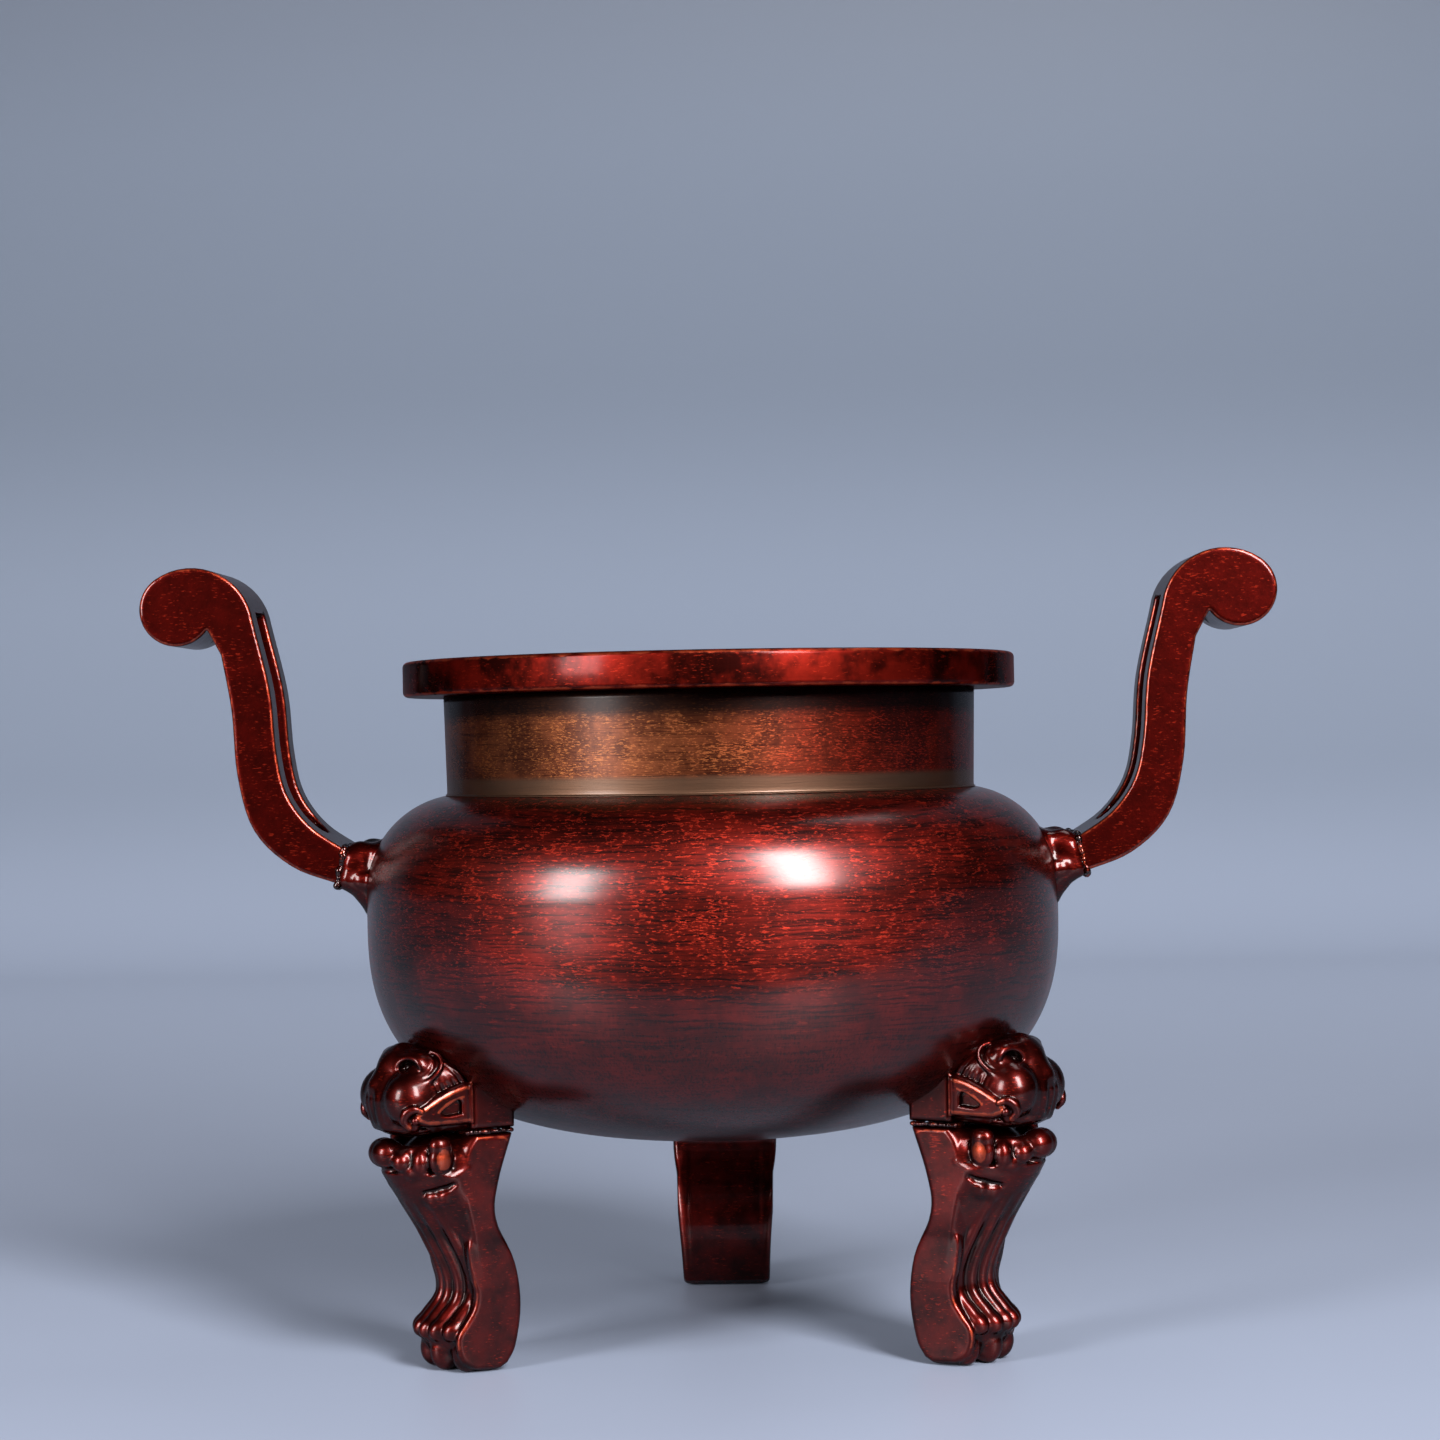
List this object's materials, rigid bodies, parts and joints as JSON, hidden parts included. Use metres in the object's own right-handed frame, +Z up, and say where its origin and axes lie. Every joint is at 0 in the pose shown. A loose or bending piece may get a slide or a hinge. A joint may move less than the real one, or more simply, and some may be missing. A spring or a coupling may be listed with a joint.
{
  "type": "tripod incense burner",
  "caption": "Round-bellied copper incense burner with an upright neck, a flat rim, two pierced S-shaped ears and lion-headed legs ending in paws.",
  "frame": {"origin": "centre of the burner's outer box, at table level", "axes": "+X towards the right ear, +Y towards the rear leg, +Z up"},
  "size_m": [0.1656, 0.1058, 0.114],
  "materials": {
    "belly_patina": "brushed copper under a glossy oxblood patina with brighter red flecks",
    "neck_patina": "brushed brown-gold patina with orange flecks",
    "rim_patina": "turned copper with oxblood patina, worn bright at its edges",
    "ear_patina": "cast copper with oxblood patina, worn orange at its edges",
    "leg_patina": "cast copper with dark, glossy patina, near black in its recesses",
    "braze_copper": "lumpy brazing metal, glossy and partly rubbed bright"
  },
  "bodies": {
    "root": {"bowl": "belly_patina", "neck_ring": "neck_patina", "rim_flange": "rim_patina", "ear_root_left": "ear_patina", "ear_braze_left": "braze_copper", "ear_left": "ear_patina", "ear_root_right": "ear_patina", "ear_braze_right": "braze_copper", "ear_right": "ear_patina", "leg_collar_front_left": "leg_patina", "leg_braze_front_left": "braze_copper", "lion_head_front_left": "leg_patina", "leg_front_left": "leg_patina", "leg_collar_front_right": "leg_patina", "leg_braze_front_right": "braze_copper", "lion_head_front_right": "leg_patina", "leg_front_right": "leg_patina", "leg_collar_rear": "leg_patina", "leg_braze_rear": "braze_copper", "lion_head_rear": "leg_patina", "leg_rear": "leg_patina"}
  },
  "joints": []
}
